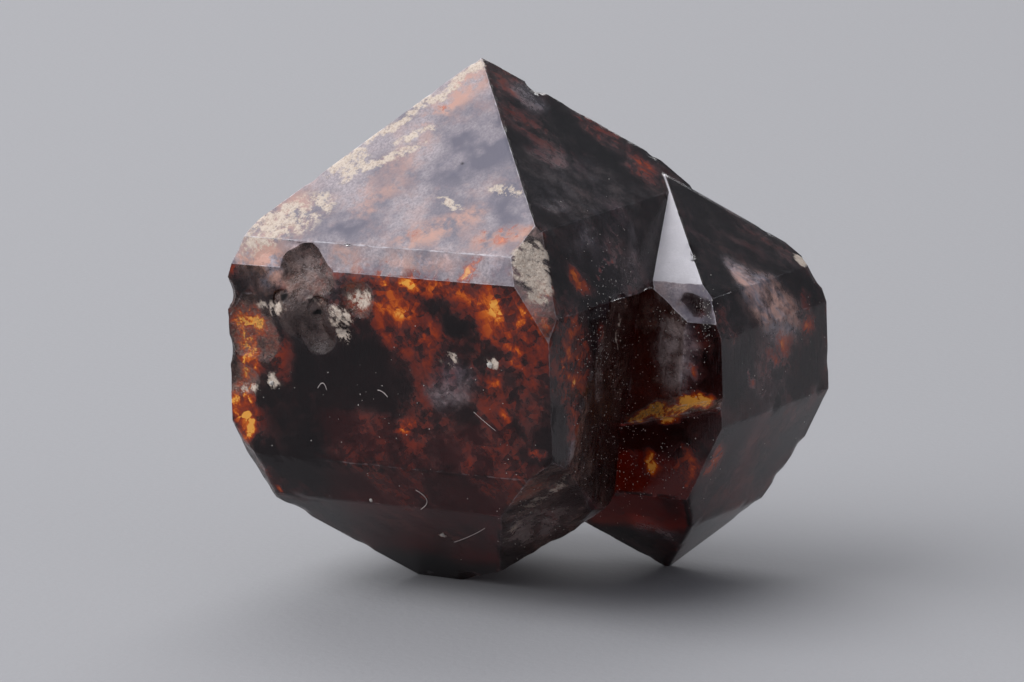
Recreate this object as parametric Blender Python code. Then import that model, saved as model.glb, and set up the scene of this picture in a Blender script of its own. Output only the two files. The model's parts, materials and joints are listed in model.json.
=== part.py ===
"""A zircon crystal: two doubly terminated tetragonal crystals grown together side by side, in parallel.

The large crystal stands on the left and in front, and the small one on the right. Both have the four prism
faces, the low pyramid {101}, a steep bevel {301} above the prism and a bevel {201} below it. They share one
lattice, so every face of one is parallel to a face of the other, and they are one solid. The large crystal's
left edge, front corner and lower right side are broken.

X runs to the right of the front view, Y to the back and Z up. Lengths are millimetres in the crystals' own
frame until the finished solid is scaled to metres, with its origin at the bottom centre of its box.
"""

import math

import bmesh
import bpy
from mathutils import Matrix, Vector, noise

# ---------------------------------------------------------------- driving dimensions, mm and degrees
NODE_NAME = "zircon_crystal"
METRES_PER_MM = 0.001

AXIAL_RATIO = 0.9054                # zircon's c/a
SLOPE_101 = AXIAL_RATIO             # low pyramid
SLOPE_201 = 2.0 * AXIAL_RATIO       # lower bevel
SLOPE_301 = 3.0 * AXIAL_RATIO       # steep upper bevel

SIDES = ("front_left", "front_right", "back_right", "back_left")
FRONT_LEFT_AZIMUTH = -121.65        # direction that the front left faces look in, from +X towards +Y
LEAN = 1.8                          # the c axis leans this far to the left of the front view
LEAN_PIVOT_HEIGHT = 9.5
STOCK_SIZE = 80.0                   # side of the block that a crystal is cut from

# Distances from the crystal's axis to each of its SIDES, and the heights of its two points.
LARGE = {
    "axis": (-1.33, 0.0),
    "top": 19.23,
    "bevel_301": (6.58, 5.74, 4.60, 6.10),
    "prism": (6.94, 6.82, 6.80, 6.85),
    "foot_axis": (-1.33, 0.0),
    "foot": -1.80,
    "bevel_201": (6.04, 5.60, 5.20, 6.00),
}
SMALL = {
    "axis": (5.24, 0.74),
    "top": 14.59,
    "bevel_301": (3.61, 4.11, 3.20, 3.60),
    "prism": (4.38, 4.62, 3.66, 3.90),
    "foot_axis": (4.95, 0.74),
    "foot": -0.24,
    "bevel_201": (None, 2.60, 2.60, 2.60),
}

# Broken and vicinal faces: a point on the face, then the azimuth it looks in and its dip from level.
LARGE_BREAKS = {
    "crusted_break": ((0.30, -5.99, 3.27), -62.4, 140.3),
    "arch": ((-1.52, -3.10, 0.62), 6.0, 149.0),
    "base_front_chip": ((-3.11, -1.50, 0.00), -107.6, 160.0),
    "front_corner_chip": ((0.37, -8.20, 13.07), -76.3, 63.7),
    "lower_left_break": ((-9.57, -3.23, 4.80), -160.0, 117.0),
}
SMALL_BREAKS = {
    "foot_front": ((4.83, -2.37, 1.90), -127.0, 137.6),
}
LILAC_FACET = ((5.49, -4.15, 9.06), -133.7, 88.3)

# The groove between the crystals is cut back into the large one, under the steep bevel of its right side.
GROOVE_WALL = ((2.69, -5.85, 8.20), -19.4, 97.7)
GROOVE_ROOF_POINT = (3.17, -5.69, 11.05)
GROOVE_ROOF_DIP = 20.0

# The small crystal's front left face carries a ledge, with the face set back above it and below it.
REACH_ABOVE_LEDGE = 4.10            # from the axis to the face above the ledge
REACH_BELOW_LEDGE = 4.22            # and to the face below it
LEDGE_TOP = (4.82, -3.88, 6.68)     # a point on the slope above the ledge
LEDGE_BOTTOM = (4.40, -3.69, 6.22)  # a point on the slope below it
LEDGE_AZIMUTH = -132.0              # that the slope above looks in
LEDGE_DIP = 50.0
UNDER_LEDGE_AZIMUTH = -105.0
UNDER_LEDGE_DIP = 142.0

# Shell-shaped bites out of the surface: a point on the surface, the azimuth and dip that the surface faces,
# the width and depth of the bite, and a seed for its unevenness.
SCOOPS = {
    "shoulder": ((-7.92, -4.09, 12.13), -121.0, 80.0, 2.50, 0.34, 3),
    "beside_shoulder": ((-5.98, -5.29, 11.34), -121.0, 90.0, 1.40, 0.16, 5),
    "below_shoulder": ((-7.49, -4.36, 9.93), -121.0, 90.0, 1.60, 0.22, 7),
    "cavity_left": ((-8.74, -3.59, 11.18), -121.0, 90.0, 0.62, 0.34, 11),
    "cavity_right": ((-7.46, -4.38, 10.85), -121.0, 90.0, 0.80, 0.38, 13),
    "left_zone": ((-9.57, -3.15, 9.95), -128.0, 90.0, 2.60, 0.26, 17),
    "left_zone_low": ((-10.05, -2.90, 8.00), -132.0, 90.0, 1.90, 0.18, 19),
    "edge_upper": ((-10.86, -2.35, 11.25), -166.0, 90.0, 1.20, 0.34, 23),
    "edge_middle": ((-10.92, -2.30, 9.25), -166.0, 90.0, 1.50, 0.24, 29),
    "edge_lower": ((-10.95, -2.25, 7.55), -166.0, 90.0, 1.20, 0.12, 31),
    "crest": ((0.42, 0.42, 18.08), 13.0, 58.0, 0.80, 0.16, 37),
    "crust_upper": ((1.25, -8.00, 5.10), -62.0, 128.0, 1.50, 0.26, 41),
    "crust_lower": ((0.10, -5.80, 3.00), -62.0, 140.0, 1.90, 0.28, 43),
    "base_front": ((-2.45, -2.05, 0.30), -107.0, 150.0, 1.20, 0.20, 47),
    "back_left": ((-5.20, 6.75, 9.20), 148.0, 90.0, 4.60, 0.34, 53),
    "back_right": ((0.90, 6.65, 6.40), 58.0, 90.0, 3.40, 0.30, 59),
    "small_back": ((8.20, 3.00, 6.20), 58.0, 90.0, 2.40, 0.20, 61),
    "right_shoulder": ((10.55, 1.75, 10.55), 13.0, 62.0, 1.40, 0.14, 67),
}
# Low mounds left standing where the surface broke, measured in the same way.
MOUNDS = {
    "cavity_sill": ((-8.35, -3.85, 10.72), -121.0, 90.0, 1.50, 0.13, 79),
    "cavity_crust": ((-6.85, -4.75, 10.60), -121.0, 90.0, 1.10, 0.13, 83),
    "crust_foot": ((-0.75, -4.75, 2.10), -62.0, 140.0, 1.20, 0.16, 97),
}
BALL_SUBDIVISIONS = 4
UNEVENNESS = 0.60                   # of a scoop's or mound's depth
LUMP_NOISE_SCALE = 1.1              # lumps of the unevenness per millimetre
LEVEL_GROUND = (Vector((0.0, 0.0, 0.0)), Vector((0.0, 0.0, 1.0)))
WELD_DISTANCE = 0.002               # closes the seams that the cuts leave
FLAT_ANGLE = 0.2                    # neighbouring faces this close to level with each other become one


# ---------------------------------------------------------------- directions and planes
def azimuth_of(side):
    """The direction in degrees that a side's faces look in."""
    return FRONT_LEFT_AZIMUTH + 90.0 * SIDES.index(side)


def facing(azimuth, dip):
    """The outward normal of a face that looks in this azimuth and dips this far from level."""
    turn, tip = math.radians(azimuth), math.radians(dip)
    return Vector((math.cos(turn) * math.sin(tip), math.sin(turn) * math.sin(tip), math.cos(tip)))


def crystal_face(axis, side, reach, height, slope, looks_down=False):
    """The plane through a point at this reach from the axis and this height, falling outward by slope."""
    azimuth = azimuth_of(side)
    level = facing(azimuth, 90.0)
    dip = 90.0 if slope is None else math.degrees(math.atan(slope))
    if looks_down:
        dip = 180.0 - dip
    point = Vector((axis[0], axis[1], height)) + level * reach
    return point, facing(azimuth, dip)


def lean_matrix():
    """Tips the crystals from their own frame to the way that they stand."""
    pivot = Vector((0.0, 0.0, LEAN_PIVOT_HEIGHT))
    tip = Matrix.Rotation(math.radians(-LEAN), 4, "Y")
    return Matrix.Translation(pivot) @ tip @ Matrix.Translation(-pivot)


def crystal_planes(crystal):
    """All the crystal faces of one crystal, as points and normals."""
    planes = []
    axis, foot_axis = crystal["axis"], crystal["foot_axis"]
    rows = zip(SIDES, crystal["bevel_301"], crystal["prism"], crystal["bevel_201"])
    for side, upper, prism, lower in rows:
        planes.append(crystal_face(axis, side, 0.0, crystal["top"], SLOPE_101))
        planes.append(crystal_face(axis, side, upper, crystal["top"] - SLOPE_101 * upper, SLOPE_301))
        planes.append(crystal_face(axis, side, prism, 0.0, None))
        planes.append(crystal_face(foot_axis, side, 0.0, crystal["foot"], SLOPE_101, True))
        if lower is not None:
            height = crystal["foot"] + SLOPE_101 * lower
            planes.append(crystal_face(foot_axis, side, lower, height, SLOPE_201, True))
    return planes


def break_planes(breaks):
    """Broken faces as points and normals."""
    return [(Vector(point), facing(azimuth, dip)) for point, azimuth, dip in breaks.values()]


# ---------------------------------------------------------------- solids
def new_object(name, bm, collection):
    """Puts a bmesh in a new mesh object."""
    mesh = bpy.data.meshes.new(name)
    bm.to_mesh(mesh)
    bm.free()
    obj = bpy.data.objects.new(name, mesh)
    collection.objects.link(obj)
    return obj


def cut_block(planes):
    """Cuts a block down to what is behind every plane, and closes each cut with a face."""
    bm = bmesh.new()
    bmesh.ops.create_cube(bm, size=STOCK_SIZE)
    for point, normal in planes:
        geometry = bm.verts[:] + bm.edges[:] + bm.faces[:]
        cut = bmesh.ops.bisect_plane(
            bm, geom=geometry, plane_co=point, plane_no=normal, clear_outer=True, dist=1e-6
        )
        rim = [piece for piece in cut["geom_cut"] if isinstance(piece, bmesh.types.BMEdge)]
        if rim:
            bmesh.ops.contextual_create(bm, geom=rim)
    bmesh.ops.recalc_face_normals(bm, faces=bm.faces[:])
    return bm


def crystal_solid(name, planes, collection):
    """One convex body, leant the way that the crystals stand."""
    lean = lean_matrix()
    turn = lean.to_3x3()
    standing = [(lean @ point, turn @ normal) for point, normal in planes]
    return new_object(name, cut_block(standing), collection)


def beyond(plane):
    """The other side of a plane, for a cutter."""
    point, normal = plane
    return point, -normal


def groove_cutter():
    """The planes of the wedge that is cut from the large crystal along the groove."""
    point, azimuth, dip = GROOVE_WALL
    wall = beyond((Vector(point), facing(azimuth, dip)))
    roof = Vector(GROOVE_ROOF_POINT), facing(azimuth_of("front_right"), GROOVE_ROOF_DIP)
    return [wall, roof]


def ledge_cutters():
    """The planes of each wedge that is cut from the small crystal to leave the ledge and the lilac facet."""
    axis = SMALL["axis"]
    above = beyond((Vector(LEDGE_TOP), facing(LEDGE_AZIMUTH, LEDGE_DIP)))
    below = beyond((Vector(LEDGE_BOTTOM), facing(UNDER_LEDGE_AZIMUTH, UNDER_LEDGE_DIP)))
    point, azimuth, dip = LILAC_FACET
    return {
        "above_ledge": [beyond(crystal_face(axis, "front_left", REACH_ABOVE_LEDGE, 0.0, None)), above],
        "lilac_facet": [beyond((Vector(point), facing(azimuth, dip))), above],
        "below_ledge": [beyond(crystal_face(axis, "front_left", REACH_BELOW_LEDGE, 0.0, None)), below],
    }


def uneven_ball(name, place, azimuth, dip, width, depth, seed, sunk, collection):
    """A large ball that meets the surface in a circle of this width, for a scoop or, sunk, for a mound."""
    radius = ((width / 2) ** 2 + depth ** 2) / (2 * depth)
    outward = facing(azimuth, dip)
    centre = Vector(place) + outward * (depth - radius if sunk else radius - depth)
    offset = Vector((seed * 3.7, seed * 1.9, seed * 2.3))
    lean = lean_matrix()
    bm = bmesh.new()
    bmesh.ops.create_icosphere(bm, subdivisions=BALL_SUBDIVISIONS, radius=radius)
    for vertex in bm.verts:
        spot = centre + vertex.co
        swell = noise.noise(spot * LUMP_NOISE_SCALE + offset) * UNEVENNESS * depth
        vertex.co = lean @ (spot + vertex.co.normalized() * swell)
    return new_object(name, bm, collection)


def combine(target, tool, operation):
    """Joins a body to the target or cuts it from the target, by a Boolean that is applied at once."""
    tool.hide_render = True
    tool.display_type = "WIRE"
    modifier = target.modifiers.new(tool.name, "BOOLEAN")
    modifier.operation = operation
    modifier.solver = "EXACT"
    modifier.object = tool
    evaluated = target.evaluated_get(bpy.context.evaluated_depsgraph_get())
    mesh = bpy.data.meshes.new_from_object(evaluated)
    target.modifiers.clear()
    target.data = mesh


# ---------------------------------------------------------------- the part
def make_collection(name):
    """A new collection in the scene."""
    collection = bpy.data.collections.new(name)
    bpy.context.scene.collection.children.link(collection)
    return collection


def zircon_material():
    """Dark red-brown zircon with a vitreous face."""
    material = bpy.data.materials.new("zircon")
    material.use_nodes = True
    shader = material.node_tree.nodes["Principled BSDF"]
    shader.inputs["Base Color"].default_value = (0.11, 0.022, 0.010, 1.0)
    shader.inputs["Roughness"].default_value = 0.22
    shader.inputs["Metallic"].default_value = 0.0
    shader.inputs["IOR"].default_value = 1.93
    return material


def finish_mesh(obj):
    """Welds seams, merges level faces, scales to metres and sets the origin at the box's bottom centre."""
    bm = bmesh.new()
    bm.from_mesh(obj.data)
    bmesh.ops.remove_doubles(bm, verts=bm.verts[:], dist=WELD_DISTANCE)
    bmesh.ops.dissolve_degenerate(bm, edges=bm.edges[:], dist=WELD_DISTANCE)
    bmesh.ops.dissolve_limit(
        bm, angle_limit=math.radians(FLAT_ANGLE), verts=bm.verts[:], edges=bm.edges[:]
    )
    bmesh.ops.triangulate(bm, faces=bm.faces[:])
    bmesh.ops.recalc_face_normals(bm, faces=bm.faces[:])
    low = [min(vertex.co[i] for vertex in bm.verts) for i in range(3)]
    high = [max(vertex.co[i] for vertex in bm.verts) for i in range(3)]
    origin = Vector(((low[0] + high[0]) / 2, (low[1] + high[1]) / 2, low[2]))
    bmesh.ops.transform(bm, matrix=Matrix.Translation(-origin), verts=bm.verts[:])
    bmesh.ops.transform(bm, matrix=Matrix.Scale(METRES_PER_MM, 4), verts=bm.verts[:])
    bm.to_mesh(obj.data)
    bm.free()


def build():
    """Makes the whole crystal group."""
    for obj in list(bpy.data.objects):
        bpy.data.objects.remove(obj, do_unlink=True)
    parts = make_collection("zircon")
    tools = make_collection("cutters")

    crystal = crystal_solid(NODE_NAME, crystal_planes(LARGE) + break_planes(LARGE_BREAKS), parts)
    combine(crystal, crystal_solid("groove", groove_cutter(), tools), "DIFFERENCE")
    small = crystal_solid("small_crystal", crystal_planes(SMALL) + break_planes(SMALL_BREAKS), tools)
    for name, planes in ledge_cutters().items():
        combine(small, crystal_solid(name, planes, tools), "DIFFERENCE")
    combine(crystal, small, "UNION")
    for name, shape in SCOOPS.items():
        combine(crystal, uneven_ball("scoop_" + name, *shape, False, tools), "DIFFERENCE")
    for name, shape in MOUNDS.items():
        combine(crystal, uneven_ball("mound_" + name, *shape, True, tools), "UNION")
    combine(crystal, new_object("ground", cut_block([LEVEL_GROUND]), tools), "DIFFERENCE")

    finish_mesh(crystal)
    crystal.data.materials.clear()
    crystal.data.materials.append(zircon_material())
    for face in crystal.data.polygons:
        face.material_index = 0


build()
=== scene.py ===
"""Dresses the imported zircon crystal: fine relief, broken surfaces, frosted and clear faces, dust and lint.

The part's own frame is used throughout: metres, Z up, X to the right of the photograph, Y to the back.
Marks on the crystal are placed by the pixel of the photograph where they show, and each is carried to the
surface that the camera sees there. Sizes of marks and relief are real millimetres.
"""

import json
import math
import random

import bmesh
import bpy
import numpy as np
from mathutils import Matrix, Vector, noise
from mathutils.bvhtree import BVHTree
from mathutils.kdtree import KDTree

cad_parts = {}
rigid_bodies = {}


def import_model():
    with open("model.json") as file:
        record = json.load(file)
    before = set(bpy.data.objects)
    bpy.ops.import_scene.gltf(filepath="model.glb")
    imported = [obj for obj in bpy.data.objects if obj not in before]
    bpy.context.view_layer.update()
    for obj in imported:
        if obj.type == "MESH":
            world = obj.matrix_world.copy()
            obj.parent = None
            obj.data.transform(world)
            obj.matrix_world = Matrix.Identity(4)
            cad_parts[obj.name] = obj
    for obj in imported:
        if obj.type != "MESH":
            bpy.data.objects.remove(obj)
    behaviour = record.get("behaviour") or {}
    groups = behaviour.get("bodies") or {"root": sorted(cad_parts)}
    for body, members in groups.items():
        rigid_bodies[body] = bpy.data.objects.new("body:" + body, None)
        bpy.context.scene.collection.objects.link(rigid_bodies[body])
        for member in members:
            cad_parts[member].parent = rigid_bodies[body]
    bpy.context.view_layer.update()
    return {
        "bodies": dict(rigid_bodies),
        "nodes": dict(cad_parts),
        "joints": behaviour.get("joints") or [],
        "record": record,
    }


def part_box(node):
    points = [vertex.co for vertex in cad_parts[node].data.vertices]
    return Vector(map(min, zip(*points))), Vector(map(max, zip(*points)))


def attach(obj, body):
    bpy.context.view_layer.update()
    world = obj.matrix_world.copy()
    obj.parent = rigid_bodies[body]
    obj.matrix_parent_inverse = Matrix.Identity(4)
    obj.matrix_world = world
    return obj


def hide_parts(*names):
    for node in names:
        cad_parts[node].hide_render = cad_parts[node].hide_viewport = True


NODE = "zircon_crystal"
BODY = "root"
MM = 0.001

# ---------------------------------------------------------------- camera
PHOTO_WIDTH, PHOTO_HEIGHT = 1024, 682
PIXELS_PER_MM = 27.05               # at the point that the camera looks at
CAMERA_ELEVATION = math.radians(10.758)
CAMERA_DISTANCE = 250.0 * MM
LOOK_AT = Vector((-0.18, 1.825, 9.333)) * MM
LOOK_AT_PIXEL = (526, 313)
SENSOR_WIDTH = 36.0

# ---------------------------------------------------------------- the crystal's lattice
LEAN = math.radians(1.8)            # the c axis leans this far to the left
AXIAL_RATIO = 0.9054
FRONT_LEFT_AZIMUTH = -121.65
SIDES = ("front_left", "front_right", "back_right", "back_left")
DIPS = {
    "pyramid": math.degrees(math.atan(AXIAL_RATIO)),
    "bevel": math.degrees(math.atan(3 * AXIAL_RATIO)),
    "prism": 90.0,
    "lower_bevel": 180 - math.degrees(math.atan(2 * AXIAL_RATIO)),
    "lower_pyramid": 180 - math.degrees(math.atan(AXIAL_RATIO)),
}
SAME_FACE = math.radians(1.0)       # a surface this close to a lattice face belongs to it

# How frosted each crystal face is, from clear at 0 to dull at 1; the pale colour that frost brings is partly
# painted sheen, so the faces turned to the light on the left get the most. Other faces are as frosted as
# OTHER_FROST.
FROST_AND_SHEEN_OF_FACE = {
    ("pyramid", "front_left"): 0.86,
    ("bevel", "front_left"): 0.80,
    ("pyramid", "back_left"): 0.70,
    ("bevel", "back_left"): 0.55,
    ("pyramid", "front_right"): 0.12,
    ("bevel", "front_right"): 0.10,
    ("pyramid", "back_right"): 0.18,
    ("bevel", "back_right"): 0.14,
}
OTHER_FROST = 0.05
BROKEN_FROST = 0.22

# ---------------------------------------------------------------- fine mesh and relief, in millimetres
LONGEST_EDGE = 0.28
REFINING_PASSES = 6
SHARP_ANGLE = math.radians(18)
SHADE_SHARP_ANGLE = math.radians(24)
EDGE_SAMPLE = 0.05
CRYSTAL_EDGE = 0.45                 # shorter edges are the rims of broken places
RELIEF = {                          # depth and lumps per millimetre
    "face": (0.006, 0.7),
    "broken": (0.070, 1.5),
    "broken_fine": (0.030, 4.0),
}
CHIP_DEPTH = 0.16
CHIP_REACH = 0.30
CHIP_SCALE = 1.25
CHIP_THRESHOLD = 0.16
CHIP_OFFSET = Vector((31.0, 7.0, 3.0))  # takes the chips' noise away from the relief's
WELD_DISTANCE = 0.0005
ALL_BROKEN = 0.99                   # a point with this share of broken faces gets the full relief
RIM_RELIEF = 0.35                   # and the points at the rims less, down from this share of it

# ---------------------------------------------------------------- marks: pixel, radii in mm, turn, amount
# Painted glow: warm light that fractures inside give back, painted into the colour with its glints; a
# negative amount paints a place darker, where less light comes back.
PAINTED_GLOW = {
    "upper_glow": ((440, 304), (5.6, 1.40), -6, 0.33),
    "upper_glow_strip": ((420, 286), (3.4, 0.36), -6, 0.18),
    "upper_glow_point": ((395, 287), (0.40, 0.26), 0, 0.10),
    "right_glow_column": ((510, 370), (2.1, 3.8), 0, 0.24),
    "flame_upper": ((513, 352), (0.28, 0.58), 15, 0.50),
    "flame_middle": ((494, 384), (0.50, 0.28), 45, 0.38),
    "flame_lower": ((503, 412), (0.22, 0.30), 0, 0.50),
    "gold_patch": ((530, 318), (0.95, 0.45), -25, 0.16),
    "gold_strip": ((535, 451), (0.60, 0.20), 0, 0.50),
    "orange_chip": ((406, 424), (0.42, 0.42), 45, 0.50),
    "dark_hexagon": ((458, 326), (0.80, 0.48), -20, -0.38),
    "black_zone": ((352, 380), (3.1, 1.35), 0, -0.24),
    "black_corner": ((300, 470), (3.0, 0.9), 0, -0.14),
    "maroon_zone": ((310, 420), (2.8, 1.7), 0, 0.10),
    "middle_band": ((395, 330), (3.8, 1.0), -12, 0.22),
    "middle_brown": ((455, 420), (2.8, 2.4), 0, 0.18),
    "lower_brown": ((500, 480), (2.0, 1.4), 0, 0.20),
    "left_gold_upper": ((249, 318), (0.72, 0.90), 0, 0.74),
    "left_gold_middle": ((250, 358), (0.60, 0.85), 0, 0.70),
    "left_gold_lower": ((243, 404), (0.60, 1.35), 0, 1.00),
    "left_gold_foot": ((246, 428), (0.30, 0.60), 0, 0.42),
    "left_orange": ((268, 350), (1.25, 1.5), 45, 0.40),
    "left_bump": ((233, 268), (0.45, 0.50), 0, 0.50),
    "foot_dot": ((281, 488), (0.20, 0.15), 0, 0.55),
    "tip_spot": ((436, 110), (0.60, 0.26), 30, 0.62),
    "tip_right": ((508, 88), (0.60, 0.70), 0, 0.22),
    "shoulder_brown": ((308, 278), (1.7, 1.3), 0, 0.26),
    "corner_chip": ((541, 290), (0.40, 0.50), 0, 0.46),
    "band_glow": ((470, 270), (0.50, 0.62), 0, 0.48),
    "pyramid_glow_left": ((430, 226), (1.8, 0.45), 15, 0.36),
    "pyramid_glow_right": ((500, 234), (1.3, 0.50), 0, 0.46),
    "crest_red": ((606, 134), (3.0, 0.9), -32, 0.36),
    "crest_glow": ((641, 162), (0.80, 0.55), 0, 0.14),
    "corner_amber": ((580, 283), (0.95, 0.62), 0, 0.56),
    "corner_glint": ((598, 271), (0.10, 0.42), -20, 0.80),
    "corner_glint_flat": ((610, 264), (0.32, 0.08), 0, 0.80),
    "right_wall_red": ((576, 362), (1.10, 3.2), 0, 0.42),
    "right_wall_orange": ((602, 330), (0.45, 0.85), 0, 0.32),
    "right_wall_glint": ((563, 362), (0.10, 0.30), -15, 0.60),
    "right_wall_low_glint": ((573, 388), (0.10, 0.30), -15, 0.55),
    "groove_amber": ((648, 318), (0.75, 0.50), 30, 0.42),
    "lilac_red": ((691, 369), (0.34, 0.42), 0, 0.62),
    "lilac_streak": ((657, 380), (0.60, 0.10), 0, 0.45),
    "ledge_left": ((645, 411), (1.00, 0.36), 0, 1.20),
    "ledge_body": ((672, 409), (1.9, 0.46), 0, 0.80),
    "ledge_middle": ((676, 412), (0.90, 0.42), 0, 1.00),
    "ledge_right": ((702, 401), (0.70, 0.34), 20, 0.80),
    "groove_glint": ((652, 463), (0.36, 0.75), 0, 0.86),
    "groove_streak": ((633, 458), (0.12, 0.75), 20, 0.50),
    "groove_drop": ((620, 493), (0.16, 0.22), 0, 0.70),
    "groove_red_facet": ((686, 466), (0.50, 0.90), 0, 0.46),
    "right_maroon": ((775, 354), (0.60, 0.70), 0, 0.24),
    "right_amber_streak": ((749, 378), (0.16, 0.55), 25, 0.50),
    "right_shoulder_orange": ((808, 315), (0.50, 1.2), 0, 0.34),
    "right_haze_brown": ((715, 460), (0.55, 1.1), -30, 0.30),
    "right_low_brown": ((752, 462), (2.2, 2.4), 0, 0.26),
    "right_face_maroon": ((772, 372), (1.8, 2.0), 0, 0.26),
    "right_pyramid_dark": ((558, 205), (3.0, 1.5), 30, -0.24),
}
# Dull grey-lilac haze on or just under the surface; a negative amount is a place without frost.
HAZE = {
    "band": ((430, 265), (5.0, 0.55), -4, 0.22),
    "broken_zone": ((300, 290), (2.0, 1.5), 0, 0.24),
    "right_pyramid": ((585, 190), (3.8, 2.2), 20, 0.20),
    "right_bevel": ((600, 258), (2.6, 1.2), 0, 0.22),
    "shoulder": ((306, 272), (1.7, 1.3), 0, 0.28),
    "shoulder_left": ((262, 268), (1.1, 0.9), 0, 0.45),
    "below_shoulder": ((318, 335), (0.9, 0.7), 0, 0.24),
    "tip_haze": ((530, 98), (1.0, 0.80), 0, 0.62),
    "right_pyramid_streak": ((552, 205), (1.4, 0.35), 30, 0.20),
    "right_bevel_stripe": ((633, 250), (0.35, 1.3), 0, 0.30),
    "right_bevel_left": ((585, 232), (0.9, 0.7), 0, 0.22),
    "facet_foot": ((688, 309), (1.2, 0.6), 0, -0.80),
    "right_face_dull": ((762, 350), (2.6, 3.2), 0, 0.16),
    "cloud": ((772, 302), (2.3, 1.4), -10, 0.80),
    "cloud_left": ((742, 275), (1.2, 0.6), -30, 0.60),
    "lilac_face": ((675, 348), (1.15, 1.9), 0, 0.86),
    "scratches": ((452, 386), (1.2, 0.85), 20, 0.42),
    "wall_streak": ((572, 452), (0.22, 0.85), -25, 0.90),
    "undercut": ((655, 530), (1.1, 0.9), 0, 0.45),
    "corner_haze": ((533, 266), (0.75, 1.15), 0, 0.30),
    "right_wall_haze": ((600, 375), (0.5, 1.6), 0, 0.36),
    "crust_haze": ((532, 520), (1.7, 1.7), 38, 0.50),
}
# Cream and white deposits.
CREAM = {
    "crest_upper": ((452, 86), (1.6, 0.22), 34, 0.75),
    "crest_tip": ((480, 64), (0.5, 0.45), 0, 0.80),
    "crest_middle": ((408, 116), (1.5, 0.26), 34, 0.70),
    "crest_lower": ((352, 152), (1.8, 0.40), 30, 0.50),
    "feather_upper": ((415, 136), (1.2, 0.22), 5, 0.65),
    "feather": ((385, 160), (1.9, 0.30), 12, 0.70),
    "feather_left": ((350, 165), (0.9, 0.50), 0, 0.60),
    "gold_vein": ((452, 202), (0.85, 0.10), -38, 0.80),
    "vein_right": ((505, 190), (0.9, 0.35), -25, 0.50),
    "shoulder_cream": ((262, 226), (1.6, 1.2), 30, 0.42),
    "shoulder_cream_low": ((300, 215), (1.8, 0.9), 20, 0.40),
    "corner_chip": ((532, 264), (0.75, 1.0), 0, 0.95),
    "corner_chip_low": ((540, 292), (0.40, 0.60), -20, 0.55),
    "ridge": ((272, 306), (1.0, 0.22), -8, 0.62),
    "deposit": ((338, 317), (0.55, 0.40), 0, 0.62),
    "deposit_left": ((318, 303), (0.40, 0.30), 0, 0.60),
    "deposit_right": ((362, 296), (0.75, 0.45), 20, 0.45),
    "deposit_low": ((345, 335), (0.45, 0.30), 0, 0.50),
    "left_spot": ((272, 383), (0.32, 0.26), 0, 0.75),
    "left_line": ((247, 386), (0.8, 0.16), 0, 0.45),
    "bead": ((490, 365), (0.22, 0.18), 0, 0.85),
    "gold_flake": ((448, 362), (0.35, 0.28), 0, 0.40),
    "grain": ((443, 535), (0.12, 0.12), 0, 0.90),
    "crust": ((545, 496), (1.9, 0.42), 38, 0.18),
    "crust_low": ((512, 530), (1.4, 0.42), 48, 0.24),
    "shoulder_spot": ((798, 259), (0.42, 0.30), -40, 0.90),
    "groove_line": ((618, 330), (0.20, 0.80), 0, 0.35),
}
# Pink and mauve tints of the frosted faces; a negative amount is slate grey.
BLUSH = {
    "tip": ((462, 92), (1.5, 0.80), 30, 0.80),
    "tip_left": ((438, 114), (1.0, 0.50), 30, 0.70),
    "middle": ((372, 200), (1.4, 0.60), 15, 0.55),
    "low_middle": ((440, 228), (2.2, 0.70), 8, 0.80),
    "low_right": ((500, 237), (1.4, 0.50), 0, 0.90),
    "shoulder": ((272, 228), (2.4, 1.3), 30, 0.62),
    "left_side": ((262, 262), (1.2, 0.8), 0, 0.80),
    "broken_zone": ((285, 285), (2.0, 1.3), 0, 0.60),
    "upper_middle": ((400, 165), (2.4, 1.0), 20, 0.30),
    "band": ((400, 266), (2.6, 0.50), -4, 0.50),
    "band_left": ((345, 258), (0.80, 0.50), 0, 0.50),
    "cloud": ((772, 302), (2.6, 1.8), -10, 0.75),
    "corner_chip": ((530, 240), (0.9, 0.6), 0, 0.90),
    "slate_upper": ((474, 150), (2.2, 1.6), 10, -0.46),
    "slate_right": ((506, 205), (0.9, 1.2), 0, -0.30),
    "slate_low": ((340, 232), (1.2, 0.5), 10, -0.40),
}
# Whole faces that are paler than the rest: the bright facet's paleness is painted sheen, a reflection of the
# light on the left, and the corner chip is made paler too.
PALE_AND_SHEEN = {
    "bright_facet": ((680, 250), (3.4, 4.2), 0, 0.94),
    "corner_chip": ((533, 266), (1.8, 2.6), 0, 0.38),
}
# Pits and cavities, painted black as the shade inside them.
PAINTED_PIT_SHADE = {
    "cavity_left": ((283, 298), (0.34, 0.26), 0, 1.0),
    "cavity_right": ((318, 311), (0.50, 0.24), -10, 1.0),
    "pyramid_pit": ((465, 160), (0.11, 0.11), 0, 1.0),
    "speckled_facet": ((708, 320), (0.30, 1.1), 0, 0.50),
    "under_band": ((560, 395), (0.20, 2.2), 0, 0.25),
}
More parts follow.
